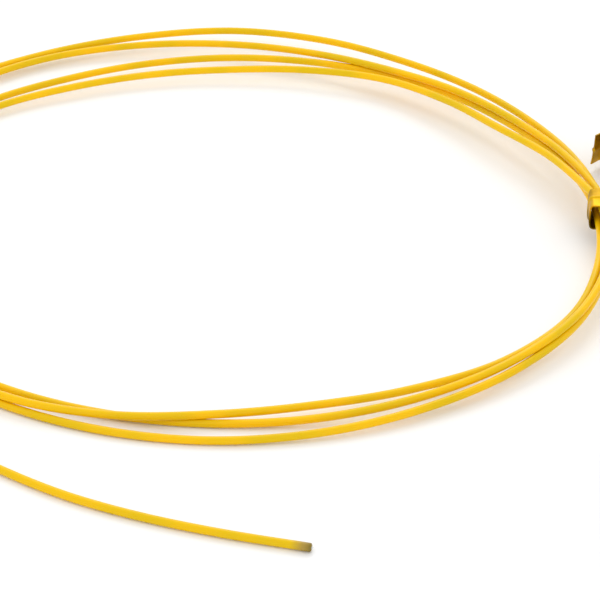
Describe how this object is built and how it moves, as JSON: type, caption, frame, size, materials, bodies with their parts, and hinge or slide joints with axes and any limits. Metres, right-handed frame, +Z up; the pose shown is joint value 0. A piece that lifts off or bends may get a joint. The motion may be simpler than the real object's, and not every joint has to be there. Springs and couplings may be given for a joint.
{
  "type": "fibre optic pigtail",
  "caption": "Coiled yellow buffered fibre with a bare cut end, a push-pull plug with boot and dust cap on its other end, and a twist tie round its turns.",
  "frame": {"origin": "on the floor under the middle of the plug, from its dust cap's end to its boot's end", "axes": "+Y along the plug from its ferrule to its boot, +Z up, +X away from the coil"},
  "size_m": [0.106, 0.131, 0.0082],
  "materials": {
    "sleeve": "blue moulded plastic",
    "housing": "off-white moulded plastic",
    "ceramic": "polished ceramic",
    "metal": "turned and nickel plated",
    "boot": "soft white elastomer",
    "cap": "clear soft plastic",
    "tie": "gold metallised ribbon",
    "cord": "glossy golden yellow buffer"
  },
  "bodies": {
    "plug": {"inner_housing": "housing", "crimp_body": "metal", "boot": "boot", "fibre_lead": "cord", "fibre_coil": "cord", "fibre_tail": "cord", "twist_tie": "tie"},
    "sleeve": {"coupling_sleeve": "sleeve"},
    "ferrule": {"ferrule": "ceramic", "ferrule_flange": "metal"},
    "cap": {"dust_cap": "cap"}
  },
  "joints": [
    {"name": "sleeve_slide", "type": "slide", "parent": "plug", "child": "sleeve", "axis": [0, 1, 0], "range_m": [0, 0.002]},
    {"name": "ferrule_float", "type": "slide", "parent": "plug", "child": "ferrule", "axis": [0, 1, 0], "range_m": [0, 0.001], "stiffness_N_per_m": 500},
    {"name": "cap_pull", "type": "slide", "parent": "plug", "child": "cap", "axis": [0, -1, 0], "range_m": [0, 0.016]}
  ]
}
